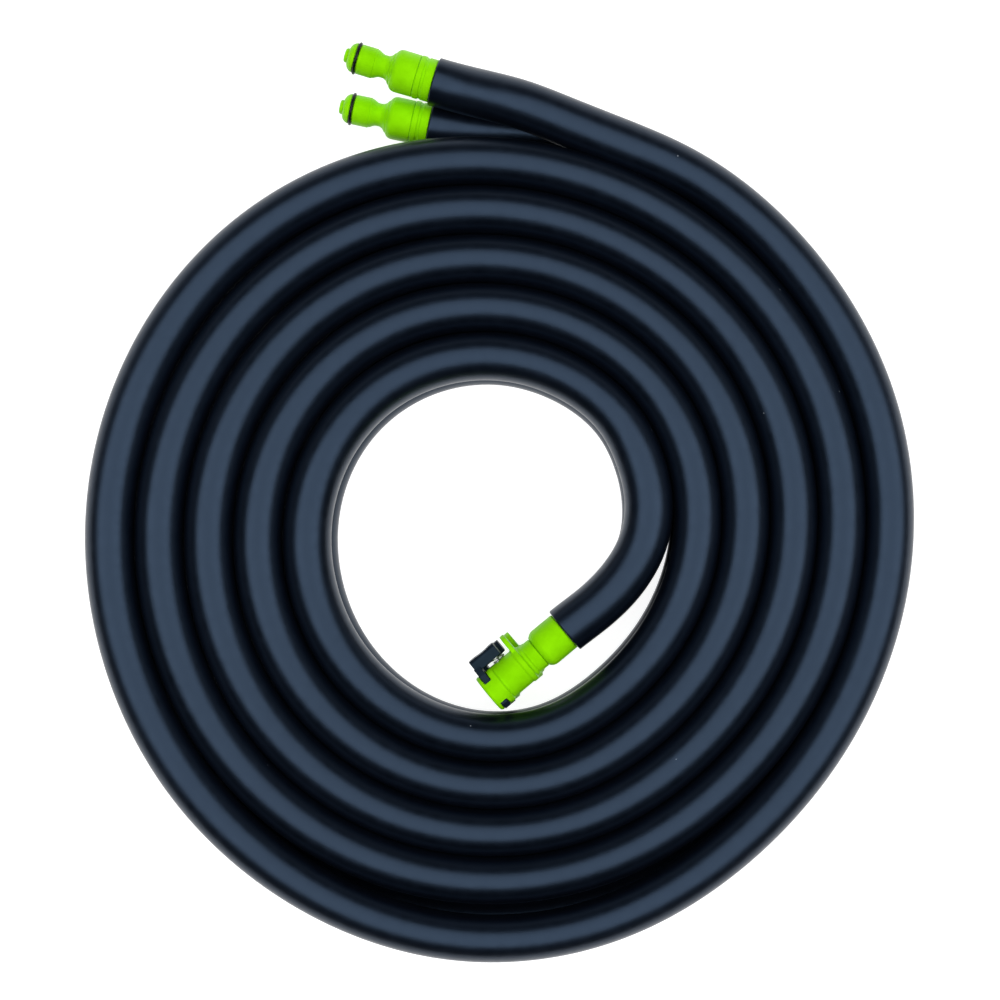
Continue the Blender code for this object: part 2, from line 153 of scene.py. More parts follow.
def noise(tree, coords, scale, detail=3.0, roughness=0.55):
    made = node(tree, "TexNoise", {"Vector": coords, "Scale": scale, "Detail": detail,
                                   "Roughness": roughness})
    return made.outputs["Fac"]


def remap(tree, value, low, high, to_low, to_high):
    made = node(tree, "MapRange", {"Value": value, "From Min": low, "From Max": high,
                                   "To Min": to_low, "To Max": to_high})
    return made.outputs["Result"]


def maths(tree, operation, first, second):
    made = node(tree, "Math", {0: first, 1: second}, operation=operation)
    return made.outputs[0]


def mix_colour(tree, factor, first, second):
    made = node(tree, "Mix", (), data_type="RGBA")
    for socket, value in ((0, factor), (6, first), (7, second)):
        if isinstance(value, bpy.types.NodeSocket):
            tree.links.new(value, made.inputs[socket])
        elif socket == 0:
            made.inputs[socket].default_value = value
        else:
            made.inputs[socket].default_value = (*value, 1.0)
    return made.outputs[2]


def bump(tree, height, distance, strength=1.0, under=None):
    inputs = {"Height": height, "Distance": distance, "Strength": strength}
    if under is not None:
        inputs["Normal"] = under
    return node(tree, "Bump", inputs).outputs["Normal"]


def object_coords(tree):
    return node(tree, "TexCoord").outputs["Object"]


def scaled(tree, coords, scale):
    made = node(tree, "VectorMath", {0: coords, 1: scale}, operation="MULTIPLY")
    return made.outputs[0]


# --- materials -----------------------------------------------------------------------

def foam_skin():
    """Extruded closed-cell foam: satin skin, faint draw lines, fine cells, a little dust."""
    made, tree, shader = new_material("foam_skin", (0.001, 0.0016, 0.0034), 0.36)
    shader.inputs["Specular Tint"].default_value = (0.42, 0.64, 1.0, 1.0)
    straight = node(tree, "Attribute", attribute_name="straight").outputs["Vector"]
    broad = noise(tree, scaled(tree, straight, (1.0, 3.0, 3.0)), 14.0)
    mottle = noise(tree, straight, 190.0, 4.0)
    cells = noise(tree, straight, 1500.0, 2.0)
    drawn = noise(tree, scaled(tree, straight, (0.02, 1.0, 1.0)), 900.0, 2.0)
    tone = maths(tree, "ADD", maths(tree, "MULTIPLY", broad, 0.6),
                 maths(tree, "MULTIPLY", mottle, 0.4))
    body = mix_colour(tree, remap(tree, tone, 0.35, 0.65, 0.0, 1.0),
                      (0.0007, 0.0012, 0.0026), (0.0014, 0.0021, 0.0044))
    spots = node(tree, "TexVoronoi", {"Vector": straight, "Scale": 85.0})
    chosen = node(tree, "SeparateColor", {"Color": spots.outputs["Color"]}).outputs[0]
    small = maths(tree, "LESS_THAN", spots.outputs["Distance"], 0.022)
    dust = maths(tree, "MULTIPLY", small, maths(tree, "GREATER_THAN", chosen, 0.80))
    colour = mix_colour(tree, dust, body, (0.30, 0.33, 0.36))
    tree.links.new(colour, shader.inputs["Base Color"])
    tree.links.new(remap(tree, mottle, 0.3, 0.7, 0.31, 0.38), shader.inputs["Roughness"])
    rough = bump(tree, mottle, 0.25 * MM, 0.35)
    fine = bump(tree, cells, 0.06 * MM, 0.5, rough)
    lines = bump(tree, drawn, 0.05 * MM, 0.3, fine)
    tree.links.new(lines, shader.inputs["Normal"])
    return made


def foam_cut():
    """The cut face of the foam, with its cells open."""
    made, tree, shader = new_material("foam_cut", (0.03, 0.035, 0.045), 0.9)
    coords = object_coords(tree)
    cells = node(tree, "TexVoronoi", {"Vector": coords, "Scale": 1300.0})
    colour = mix_colour(tree, cells.outputs["Distance"], (0.012, 0.015, 0.021),
                        (0.060, 0.072, 0.094))
    tree.links.new(colour, shader.inputs["Base Color"])
    tree.links.new(bump(tree, cells.outputs["Distance"], 0.4 * MM, 0.8), shader.inputs["Normal"])
    return made


def water_tube_rubber():
    """Smooth grey tube under the foam, with the dull bloom that such rubber gets."""
    made, tree, shader = new_material("water_tube", (0.32, 0.33, 0.35), 0.4)
    coords = object_coords(tree)
    bloom = noise(tree, coords, 220.0, 4.0)
    colour = mix_colour(tree, bloom, (0.24, 0.25, 0.27), (0.40, 0.41, 0.43))
    tree.links.new(colour, shader.inputs["Base Color"])
    tree.links.new(remap(tree, bloom, 0.3, 0.7, 0.32, 0.5), shader.inputs["Roughness"])
    tree.links.new(bump(tree, noise(tree, coords, 1600.0), 0.03 * MM, 0.5), shader.inputs["Normal"])
    return made


def moulded_plastic(name, dark, light, rough_low, rough_high, grain, gloss, tint):
    """Injection-moulded plastic: flow variation, spark-eroded grain and rubbed patches."""
    made, tree, shader = new_material(name, light, rough_low, Specular_IOR_Level=gloss)
    shader.inputs["Specular Tint"].default_value = (*tint, 1.0)
    coords = object_coords(tree)
    flow = noise(tree, coords, 90.0, 3.0)
    rub = noise(tree, scaled(tree, coords, (1.0, 1.0, 0.35)), 500.0, 5.0, 0.65)
    colour = mix_colour(tree, remap(tree, flow, 0.35, 0.65, 0.0, 1.0), dark, light)
    tree.links.new(colour, shader.inputs["Base Color"])
    tree.links.new(remap(tree, rub, 0.35, 0.68, rough_low, rough_high), shader.inputs["Roughness"])
    spark = noise(tree, coords, 3200.0, 2.0)
    under = bump(tree, rub, 0.02 * MM, 0.4)
    tree.links.new(bump(tree, spark, grain * MM, 0.6, under), shader.inputs["Normal"])
    return made


def seal_rubber():
    made, tree, shader = new_material("seal_rubber", (0.003, 0.004, 0.004), 0.35,
                                       Specular_IOR_Level=0.16)
    coords = object_coords(tree)
    grease = noise(tree, coords, 700.0, 3.0)
    colour = mix_colour(tree, grease, (0.002, 0.003, 0.003), (0.004, 0.006, 0.006))
    tree.links.new(colour, shader.inputs["Base Color"])
    tree.links.new(remap(tree, grease, 0.3, 0.7, 0.2, 0.42), shader.inputs["Roughness"])
    return made


def steel(name, brush):
    """Bright steel with the marks of drawing or rolling round it."""
    made, tree, shader = new_material(name, (0.66, 0.66, 0.65), 0.25, Metallic=1.0)
    coords = object_coords(tree)
    marks = noise(tree, scaled(tree, coords, (1.0, 1.0, brush)), 1200.0, 4.0, 0.7)
    colour = mix_colour(tree, marks, (0.50, 0.50, 0.49), (0.80, 0.80, 0.78))
    tree.links.new(colour, shader.inputs["Base Color"])
    tree.links.new(remap(tree, marks, 0.3, 0.7, 0.16, 0.38), shader.inputs["Roughness"])
    tree.links.new(bump(tree, marks, 0.02 * MM, 0.5), shader.inputs["Normal"])
    return made


FINISH = {
    "foam_insulation": foam_skin(),
    "foam_cut": foam_cut(),
    "water_tube": water_tube_rubber(),
    "green_plastic": moulded_plastic("green_plastic", (0.180, 0.535, 0.001),
                                     (0.220, 0.620, 0.002), 0.34, 0.48, 0.035, 0.25,
                                     (0.5, 1.0, 0.0)),
    "black_plastic": moulded_plastic("black_plastic", (0.003, 0.006, 0.011),
                                     (0.006, 0.011, 0.018), 0.32, 0.5, 0.04, 0.14,
                                     (0.5, 0.8, 1.0)),
    "pale_plastic": moulded_plastic("pale_plastic", (0.60, 0.60, 0.56),
                                    (0.72, 0.72, 0.68), 0.32, 0.45, 0.03, 0.5,
                                    (1.0, 1.0, 1.0)),
    "seal_rubber": seal_rubber(),
    "spring_steel": steel("spring_steel", 6.0),
}


# --- mesh helpers --------------------------------------------------------------------

def finished(name, mesh, body, slot, cad_node, place=None):
    """Makes a mesh into a piece that stands for a CAD node."""
    piece = bpy.data.objects.new(name, mesh)
    bpy.context.scene.collection.objects.link(piece)
    if place is not None:
        piece.matrix_world = place
    if not mesh.materials:
        mesh.materials.append(FINISH[slot])
    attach(piece, body)
    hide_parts(cad_node)
    return piece


def settle(piece):
    """Bakes a piece's place into its mesh, so that it can be squashed along its joint."""
    bpy.context.view_layer.update()
    body = piece["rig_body"]
    world = piece.matrix_world.copy()
    piece.parent = None
    piece.data.transform(world)
    piece.matrix_world = Matrix.Identity(4)
    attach(piece, body)


def to_mesh(name, mesh_data):
    bmesh.ops.recalc_face_normals(mesh_data, faces=mesh_data.faces)
    mesh = bpy.data.meshes.new(name)
    mesh_data.to_mesh(mesh)
    mesh_data.free()
    mesh.shade_smooth()
    mesh.set_sharp_from_angle(angle=math.radians(38))
    return mesh


def eased(profile, radius, closed):
    """The profile with its corners rounded, as a mould leaves them."""
    points = [Vector(point) for point in profile]
    smooth = []
    for i, here in enumerate(points):
        if not closed and i in (0, len(points) - 1):
            smooth.append(here)
            continue
        back = points[i - 1] - here
        ahead = points[(i + 1) % len(points)] - here
        if math.pi - back.angle(ahead) < math.radians(6):
            smooth.append(here)
            continue
        cut = min(radius, 0.42 * back.length, 0.42 * ahead.length)
        start = here + back.normalized() * cut
        end = here + ahead.normalized() * cut
        for step in range(5):
            t = step / 4
            smooth.append(start * (1 - t) ** 2 + here * 2 * t * (1 - t) + end * t ** 2)
    return [(point.x, point.y) for point in smooth]


def bridge(mesh_data, first, second):
    count = max(len(first), len(second))
    for i in range(count):
        j = (i + 1) % count
        if len(first) == 1:
            mesh_data.faces.new((first[0], second[j], second[i]))
        elif len(second) == 1:
            mesh_data.faces.new((first[i], first[j], second[0]))
        else:
            mesh_data.faces.new((first[i], first[j], second[j], second[i]))


def turned(profile, closed=True, ease=0.25, segments=SEGMENTS):
    """A solid of revolution about +Z from (radius, height) pairs, in metres."""
    mesh_data = bmesh.new()
    rings = []
    for radius, height in eased(profile, ease, closed):
        if radius < 1e-6:
            rings.append([mesh_data.verts.new((0, 0, height * MM))])
            continue
        ring = []
        for i in range(segments):
            angle = 2 * math.pi * i / segments
            ring.append(mesh_data.verts.new((radius * MM * math.cos(angle),
                                             radius * MM * math.sin(angle), height * MM)))
        rings.append(ring)
    pairs = list(zip(rings, rings[1:]))
    if closed:
        pairs.append((rings[-1], rings[0]))
    for first, second in pairs:
        bridge(mesh_data, first, second)
    return mesh_data


def coil_wire(radius, wire, start, end, turns, dead=0.9):
    """A coil spring along +Z whose end turns lie closed, sizes in millimetres."""
    steps_per_turn = 28
    sides = 10
    steps = round(turns * steps_per_turn)
    closed_rise = 2.15 * wire
    open_rise = (end - start - 2 * wire - 2 * dead * closed_rise) / (turns - 2 * dead)
    mesh_data = bmesh.new()
    rings = []
    height = start + wire
    for i in range(steps + 1):
        angle = 2 * math.pi * i / steps_per_turn
        out = Vector((math.cos(angle), math.sin(angle), 0))
        ring = []
        for side in range(sides):
            turn = 2 * math.pi * side / sides
            spot = out * (radius + wire * math.cos(turn))
            ring.append(mesh_data.verts.new((spot.x * MM, spot.y * MM,
                                             (height + wire * math.sin(turn)) * MM)))
        rings.append(ring)
        at_end = min(i, steps - i) / steps_per_turn < dead
        height += (closed_rise if at_end else open_rise) / steps_per_turn
    for first, second in zip(rings, rings[1:]):
        bridge(mesh_data, first, second)
    mesh_data.faces.new(rings[0])
    mesh_data.faces.new(rings[-1])
    return mesh_data


def prism(outline, start, end):
    """A prism along +Z over an (x, y) outline, in millimetres."""
    mesh_data = bmesh.new()
    bottom = [mesh_data.verts.new((x * MM, y * MM, start * MM)) for x, y in outline]
    top = [mesh_data.verts.new((x * MM, y * MM, end * MM)) for x, y in outline]
    bridge(mesh_data, bottom, top)
    mesh_data.faces.new(bottom)
    mesh_data.faces.new(top)
    return mesh_data


def cylinder(radius, start, end, turn):
    """A cylinder from start to end along its own +Z in millimetres, then turned by a matrix."""
    mesh_data = bmesh.new()
    place = turn @ Matrix.Translation((0, 0, (start + end) / 2 * MM))
    bmesh.ops.create_cone(mesh_data, cap_ends=True, segments=64, radius1=radius * MM,
                          radius2=radius * MM, depth=abs(end - start) * MM, matrix=place)
    return mesh_data


def moulded(name, first, operations, voxel, rounds):
    """Joins and cuts shapes, then rounds every corner a little as a moulding's are."""
    scene = bpy.context.scene.collection
    target = bpy.data.objects.new(name + "_blank", to_mesh(name + "_blank", first))
    scene.objects.link(target)
    tools = []
    for operation, mesh_data in operations:
        tool = bpy.data.objects.new(name + "_tool", to_mesh(name + "_tool", mesh_data))
        scene.objects.link(tool)
        tools.append(tool)
        boolean = target.modifiers.new(operation, "BOOLEAN")
        boolean.operation = operation
        boolean.solver = "EXACT"
        boolean.object = tool
    remesh = target.modifiers.new("Remesh", "REMESH")
    remesh.mode = "VOXEL"
    remesh.voxel_size = voxel * MM
    remesh.use_smooth_shade = True
    soften = target.modifiers.new("Smooth", "SMOOTH")
    soften.factor = 0.5
    soften.iterations = rounds
    bpy.context.view_layer.update()
    seen = target.evaluated_get(bpy.context.evaluated_depsgraph_get())
    mesh = bpy.data.meshes.new_from_object(seen)
    mesh.name = name
    mesh.materials.clear()
    for used in [target] + tools:
        bpy.data.objects.remove(used, do_unlink=True)
    return mesh


# --- hoses ---------------------------------------------------------------------------

def around(values, degrees):
    """Smooth value at an angle, from one value per LAP_STEP. The list closes on itself."""
    place = degrees / LAP_STEP
    i = math.floor(place)
    f = place - i
    before, here, after, beyond = (values[(i + k) % len(values)] for k in (-1, 0, 1, 2))
    slope_here = (after - before) / 2
    slope_after = (beyond - here) / 2
    return (here * (1 + 2 * f) * (1 - f) ** 2 + slope_here * f * (1 - f) ** 2
            + after * f * f * (3 - 2 * f) - slope_after * f * f * (1 - f))


def coil_point(degrees, lap, growth, bow, height):
    level = [radius - growth[i] * i * LAP_STEP / 360 for i, radius in enumerate(lap)]
    radius = around(level, degrees % 360) + around(growth, degrees % 360) * degrees / 360
    radius += bow * math.exp(-((degrees - BOW_MIDDLE) / BOW_SPREAD) ** 2)
    angle = math.radians(degrees)
    return Vector((radius * MM * math.cos(angle), radius * MM * math.sin(angle), height))


def hose_route(inner, outer, lap, growth, bow, height):
    """Points along a hose's middle from socket to insert, each with the foam's half width."""
    route = [(Vector(point) * MM, FOAM_RADIUS) for point in inner]
    degrees = COIL_FROM
    while degrees <= COIL_TO:
        pinched = min(FOAM_RADIUS, 0.5 * MM * around(growth, degrees % 360))
        route.append((coil_point(degrees, lap, growth, bow, height), pinched))
        degrees += COIL_STATION
    route.extend((Vector(point) * MM, FOAM_RADIUS) for point in reversed(outer))
    return [(point + COIL_AXIS, width) for point, width in route]


def level_heading(degrees):
    return Vector((math.cos(math.radians(degrees)), math.sin(math.radians(degrees)), 0))


def smooth_line(points, first_way, last_way, lip):
    """A cubic spline through points (rows of numbers, x y z first) with set end headings."""
    points = np.array(points, float)
    gaps = np.linalg.norm(np.diff(points[:, :3], axis=0), axis=1)
    place = np.concatenate(([0.0], np.cumsum(gaps)))
    count = len(points)
    system = np.zeros((count, count))
    wanted = np.zeros_like(points)
    system[0, 0] = 1
    system[-1, -1] = 1
    wanted[0, :3] = first_way
    wanted[-1, :3] = last_way
    for i in range(1, count - 1):
        before, after = gaps[i - 1], gaps[i]
        system[i, i - 1] = after
        system[i, i] = 2 * (before + after)
        system[i, i + 1] = before
        rise_before = (points[i] - points[i - 1]) / before
        rise_after = (points[i + 1] - points[i]) / after
        wanted[i] = 3 * (after * rise_before + before * rise_after)
    slopes = np.linalg.solve(system, wanted)
    total = place[-1]
    inside = np.linspace(2 * lip, total - 2 * lip, round(total / SPACING))
    where = np.concatenate(([0, 0.3 * lip, lip], inside, [total - lip, total - 0.3 * lip, total]))
    i = np.clip(np.searchsorted(place, where, side="right") - 1, 0, count - 2)
    gap = gaps[i][:, None]
    f = ((where - place[i])[:, None]) / gap
    line = (points[i] * (1 + 2 * f) * (1 - f) ** 2 + slopes[i] * gap * f * (1 - f) ** 2
            + points[i + 1] * f * f * (3 - 2 * f) - slopes[i + 1] * gap * f * f * (1 - f))
    return line[:, :3], line[:, 3]


def tube_mesh(name, line, widths, height, bore, sides, lip):
    """A hollow tube along a line, its cut ends slightly rounded. Also its end faces' indexes.

    The attribute called straight holds each point's place as if the tube lay straight."""
    ways = np.gradient(line, axis=0)
    ways /= np.linalg.norm(ways, axis=1)[:, None]
    sideways = np.cross(ways, (0.0, 0.0, 1.0))
    sideways /= np.linalg.norm(sideways, axis=1)[:, None]
    ups = np.cross(sideways, ways)
    run = np.concatenate(([0.0], np.cumsum(np.linalg.norm(np.diff(line, axis=0), axis=1))))
    turn = 2 * np.pi * np.arange(sides) / sides
    shrink = np.zeros(len(line))
    shrink[[0, -1]] = lip
    shrink[[1, -2]] = 0.3 * lip

    def skin(across, upward):
        across = across[:, None] * np.cos(turn)[None, :]
        upward = upward[:, None] * np.sin(turn)[None, :]
        spots = (line[:, None, :] + sideways[:, None, :] * across[:, :, None]
                 + ups[:, None, :] * upward[:, :, None])
        along = np.broadcast_to(run[:, None], across.shape)
        return spots, np.stack((along, across, upward), axis=2)

    outside, outside_straight = skin(widths - shrink, height - shrink)
    inside, inside_straight = skin(np.full(len(line), bore), np.full(len(line), bore))
    rows = np.concatenate((outside, inside[::-1]))
    straight = np.concatenate((outside_straight, inside_straight[::-1]))
    index = np.arange(rows.shape[0] * sides).reshape(rows.shape[0], sides)
    beyond = np.roll(index, -1, axis=0)
    corners = (index, beyond, np.roll(beyond, -1, axis=1), np.roll(index, -1, axis=1))
    faces = np.stack(corners, axis=2)
    mesh = bpy.data.meshes.new(name)
    mesh.from_pydata(rows.reshape(-1, 3).tolist(), [], faces.reshape(-1, 4).tolist())
    attribute = mesh.attributes.new("straight", "FLOAT_VECTOR", "POINT")
    attribute.data.foreach_set("vector", straight.reshape(-1).astype(np.float32))
    mesh.shade_smooth()
    mesh.set_sharp_from_angle(angle=math.radians(50))
    end_rows = (len(line) - 1, rows.shape[0] - 1)
    ends = [row * sides + column for row in end_rows for column in range(sides)]
    return mesh, ends


def add_hose(level, route, insert_heading):
    """A foam sleeve and its water tube. Gives the sleeve, its middle line and its two ends."""
    first_way = level_heading(SOCKET_HEADING)
    last_way = -level_heading(insert_heading)
    rows = [(*point, width) for point, width in route]
    line, widths = smooth_line(rows, first_way, last_way, FOAM_LIP)
    widths = np.minimum(widths, FOAM_RADIUS)
    mesh, ends = tube_mesh(level + "_foam", line, widths, FOAM_RADIUS, FOAM_BORE, 64, FOAM_LIP)
    mesh.materials.append(FINISH["foam_insulation"])
    mesh.materials.append(FINISH["foam_cut"])
    for face in ends:
        mesh.polygons[face].material_index = 1
    foam = finished(level + "_foam", mesh, ROOT, "foam_insulation", level + "_foam_sleeve")
    start = route[0][0] - first_way * (SOCKET_LENGTH - SOCKET_TUBE_START) * MM
    finish = route[-1][0] + last_way * (INSERT_LENGTH - INSERT_TUBE_START) * MM
    rows = [(*start, TUBE_RADIUS), *[(*point, TUBE_RADIUS) for point, _ in route],
            (*finish, TUBE_RADIUS)]
    tube_line, tube_widths = smooth_line(rows, first_way, last_way, TUBE_LIP)
    mesh, _ = tube_mesh(level + "_tube", tube_line, tube_widths, TUBE_RADIUS, TUBE_BORE, 32,
                        TUBE_LIP)
    finished(level + "_tube", mesh, ROOT, "water_tube", level + "_water_tube")
    return foam, line, route[0][0], route[-1][0]


# --- fittings ------------------------------------------------------------------------

def fitting_place(tip, heading):
    """Where a fitting's own axes lie: +Z level along its heading, X level across it."""
    swing = Matrix.Rotation(math.radians(heading - 90.0), 4, "Z")
    lay_down = Matrix.Rotation(-math.pi / 2, 4, "X")
    return Matrix.Translation(tip) @ (swing @ lay_down)


def hose_stem(start):
    profile = [(2.6, start), (7.4, start), (7.4, start + 1.4), (3.5, start + 1.4)]
    for barb in range(2):
        foot = start + 4.6 + 4.6 * barb
        profile.extend(((3.4, foot), (3.95, foot), (3.4, foot + 3.5)))
    profile.append((2.6, start + 14.0))
    return turned(profile, ease=0.12)


def grip_ring(start, end):
    return turned(((7.5, start), (8.3, start), (8.3, end), (7.5, end)), ease=0.12)


def along_x(radius, start, end, height):
    turn = Matrix.Translation((0, 0, height * MM)) @ Matrix.Rotation(math.pi / 2, 4, "Y")
    return cylinder(radius, start, end, turn)


def socket_body_mesh(name):
    """Collar with its latch slot, flatted barrel, finger fin and stepped neck."""
    profile = ((10.3, 0), (11.0, 0.9), (11.0, 9.0), (10.9, 9.3), (10.0, 9.9), (9.9, 22.2),
               (10.4, 22.7), (10.4, 25.2), (9.2, 25.8), (8.9, 27.4), (8.4, 27.8), (8.4, 33.4),
               (7.5, 33.4), (7.5, 37.4), (6.2, 37.4), (6.2, 25.8), (4.6, 25.8), (4.6, 24.6),
               (8.1, 24.6), (8.1, 0.9), (8.9, 0))
    fin = [(-8.4, -6.2), (-8.4, 6.2)]
    for i in range(17):
        angle = math.radians(90 - 180 * i / 16)
        fin.append((-12.4 - 6.3 * math.cos(angle), 6.2 * math.sin(angle)))
    slot = ((-14.0, -9.5), (4.5, -9.5), (4.5, -8.2), (14.0, -8.2), (14.0, 8.2), (4.5, 8.2),
            (4.5, 9.5), (-14.0, 9.5))
    flat = prism(((-14.0, -12.0), (-9.8, -12.0), (-9.8, 12.0), (-14.0, 12.0)), -1.0, 22.1)
    operations = (
        ("UNION", prism(fin, 22.7, 25.2)),
        ("DIFFERENCE", prism(slot, 2.0, 6.2)),
        ("DIFFERENCE", flat),
        ("DIFFERENCE", along_x(2.7, -14.0, -9.0, 14.3)),
    )
    return moulded(name, turned(profile, ease=0.2, segments=128), operations, 0.22, 3)


def latch_mesh(name):
    """Thumb button, dished on top, on a plate whose hole the insert passes."""
    plate = ((-14.3, -7.4), (-9.6, -9.2), (2.0, -9.2), (2.0, -7.9), (8.4, -7.9), (11.2, -4.8),
             (11.2, 4.8), (8.4, 7.9), (2.0, 7.9), (2.0, 9.2), (-9.6, 9.2), (-14.3, 7.4))
    pad = ((-12.3, 7.4), (-17.5, 7.4), (-18.9, 6.0), (-18.9, -6.0), (-17.5, -7.4), (-12.3, -7.4))
    dish = cylinder(30.0, -10.0, 10.0, Matrix.Translation((-48.55 * MM, 0, 11.0 * MM))
                    @ Matrix.Rotation(math.pi / 2, 4, "X"))
    operations = (
        ("DIFFERENCE", cylinder(8.2, 0.0, 10.0, Matrix.Translation((-2.2 * MM, 0, 0)))),
        ("UNION", prism(pad, 2.8, 18.2)),
        ("DIFFERENCE", dish),
        ("DIFFERENCE", along_x(2.7, -16.6, -9.0, 14.3)),
    )
    return moulded(name, prism(plate, 2.3, 5.9), operations, 0.2, 3)


def add_socket(level, end):
    """A complete latching socket whose insulation starts at end."""
    tip = end - level_heading(SOCKET_HEADING) * SOCKET_LENGTH * MM
    place = fitting_place(tip, SOCKET_HEADING)
    button = level + "_latch_button"
    poppet = level + "_socket_poppet"
    finished(level + "_socket_shell", socket_body_mesh(level + "_socket_shell"), ROOT,
             "green_plastic", level + "_socket_body", place)
    finished(level + "_thumb_latch", latch_mesh(level + "_thumb_latch"), button,
             "black_plastic", level + "_latch", place)
    seat = Matrix.Translation((-16.3 * MM, 0, 14.3 * MM))
    across = place @ seat @ Matrix.Rotation(math.pi / 2, 4, "Y")
    coil = to_mesh("spring", coil_wire(2.0, 0.3, 0.0, LATCH_SPRING_LENGTH, 6))
    wire = finished(level + "_button_spring", coil, button, "spring_steel",
                    level + "_latch_spring", across)
    settle(wire)
    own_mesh(wire)
    valve = ((0, 24.4), (3.7, 24.4), (3.7, 27.1), (5.6, 27.1), (5.6, 28.8), (3.4, 29.0),
             (3.2, 31.4), (0, 31.4))
    finished(level + "_poppet", to_mesh("poppet", turned(valve, False, 0.3)), poppet,
             "black_plastic", level + "_socket_valve", place)
    seal = ((4.05, 26.1), (5.4, 26.1), (5.4, 26.8), (4.05, 26.8))
    finished(level + "_poppet_seal", to_mesh("poppet_seal", turned(seal, True, 0.25)), poppet,
             "seal_rubber", level + "_socket_valve_seal", place)
    coil = to_mesh("spring", coil_wire(4.6, 0.35, 29.3, 37.5, 5.5))
    wire = finished(level + "_poppet_spring", coil, poppet, "spring_steel",
                    level + "_socket_valve_spring", place)
    settle(wire)
    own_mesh(wire)
    finished(level + "_barbed_stem_in", to_mesh("stem", hose_stem(37.8)), ROOT, "pale_plastic",
             level + "_socket_stem", place)
    nut = ((7.9, 33.7), (8.8, 33.7), (9.9, 35.1), (10.5, 36.4), (10.65, 37.6), (10.6, 49.6),
           (10.2, 50.3), (8.8, 50.3), (8.8, 39.6), (7.9, 39.6))
    finished(level + "_rear_shell", to_mesh("rear_shell", turned(nut, True, 0.35)), ROOT,
             "green_plastic", level + "_socket_nut", place)
    finished(level + "_clamp_ring_in", to_mesh("clamp_ring", grip_ring(42.0, 48.0)), ROOT,
             "spring_steel", level + "_socket_grip_ring", place)


def add_insert(level, end, heading):
    """A complete valved insert whose insulation starts at end."""
    way = level_heading(heading)
    tip = end - way * INSERT_LENGTH * MM
    place = fitting_place(tip, heading)
    poppet = level + "_insert_poppet"
    outside = [(4.1, 1.9), (4.8, 2.0), (6.3, 2.8), (7.35, 4.1), (7.8, 5.6), (6.9, 5.6), (6.9, 7.7),
               (7.8, 7.7), (7.8, 16.0), (7.45, 16.3), (7.3, 17.2), (6.6, 18.4), (6.05, 19.6),
               (5.95, 20.6), (5.95, 22.2), (6.7, 23.8), (8.4, 25.1), (8.35, 25.5), (8.8, 25.6),
               (10.2, 26.7), (10.9, 28.0), (11.1, 29.4), (11.05, 33.0), (11.0, 38.5)]
    inside = [(7.5, 38.5), (7.5, 40.9), (4.0, 40.9), (4.0, 18.0), (5.4, 18.0), (5.4, 4.9),
              (4.1, 4.9)]
    finished(level + "_insert_shell", to_mesh("insert_shell", turned(outside + inside, True, 0.3)),
             ROOT, "green_plastic", level + "_insert_body", place)
    ring = []
    for i in range(20):
        angle = 2 * math.pi * i / 20
        ring.append((7.85 + 0.72 * math.cos(angle), 6.65 + 0.72 * math.sin(angle)))
    finished(level + "_o_ring", to_mesh("o_ring", turned(ring, True, 0.0)), ROOT,
             "seal_rubber", level + "_insert_o_ring", place)
    valve = ((0, 0), (3.0, 0), (3.75, 0.7), (3.75, 5.2), (5.0, 5.2), (5.0, 7.3), (2.9, 7.5),
             (2.7, 10.0), (0, 10.0))
    finished(level + "_nose_valve", to_mesh("nose_valve", turned(valve, False, 0.35)), poppet,
             "green_plastic", level + "_insert_valve", place)
    coil = to_mesh("spring", coil_wire(4.3, 0.35, 7.6, 17.7, 6.5))
    wire = finished(level + "_nose_spring", coil, poppet, "spring_steel",
                    level + "_insert_valve_spring", place)
    settle(wire)
    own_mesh(wire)
    finished(level + "_barbed_stem_out", to_mesh("stem", hose_stem(41.3)), ROOT, "pale_plastic",
             level + "_insert_stem", place)
    nut = ((7.9, 38.55), (10.6, 38.55), (10.65, 38.75), (11.0, 38.8), (11.25, 39.3),
           (11.25, 41.5), (10.7, 41.9), (10.7, 43.0), (11.1, 43.4), (11.1, 47.5), (8.8, 47.5),
           (8.8, 43.0), (7.9, 43.0))
    finished(level + "_ribbed_nut", to_mesh("ribbed_nut", turned(nut, True, 0.22)), ROOT,
             "green_plastic", level + "_insert_nut", place)
    finished(level + "_clamp_ring_out", to_mesh("clamp_ring", grip_ring(44.0, 47.0)), ROOT,
             "spring_steel", level + "_insert_grip_ring", place)


# --- camera, light and floor ---------------------------------------------------------

VIEW_CENTRE = Vector((1.8 * MM, 10.2 * MM, UPPER_HEIGHT))
VIEW_WIDTH = 511.0 * MM
VIEW_DISTANCE = 1.30
VIEW_ROLL = math.radians(50.3)


def add_camera():
    data = bpy.data.cameras.new("camera")
    data.sensor_width = 36.0
    data.lens = data.sensor_width * VIEW_DISTANCE / VIEW_WIDTH
    data.clip_start = 0.01
    data.clip_end = 30.0
    camera = bpy.data.objects.new("camera", data)
    camera.location = VIEW_CENTRE + Vector((0, 0, VIEW_DISTANCE))
    camera.rotation_euler = (0, 0, VIEW_ROLL)
    bpy.context.scene.collection.objects.link(camera)
    bpy.context.scene.camera = camera


def in_view(right, up, height):
    """A point above the coil, given right and up as the camera sees them."""
    x = right * math.cos(VIEW_ROLL) - up * math.sin(VIEW_ROLL)
    y = right * math.sin(VIEW_ROLL) + up * math.cos(VIEW_ROLL)
    return Vector((x, y, height))


# A wide oval softbox overhead. Its reach each way is the sine of an angle from straight up.
SOFTBOX_ACROSS = 0.80
SOFTBOX_ALONG = 0.56
SOFTBOX_SHIFT = 0.04
SOFTBOX_GLOW = 2.85
# Its edge fades out between these shares of its reach, squared.
SOFTBOX_EDGE = (0.72, 1.35)
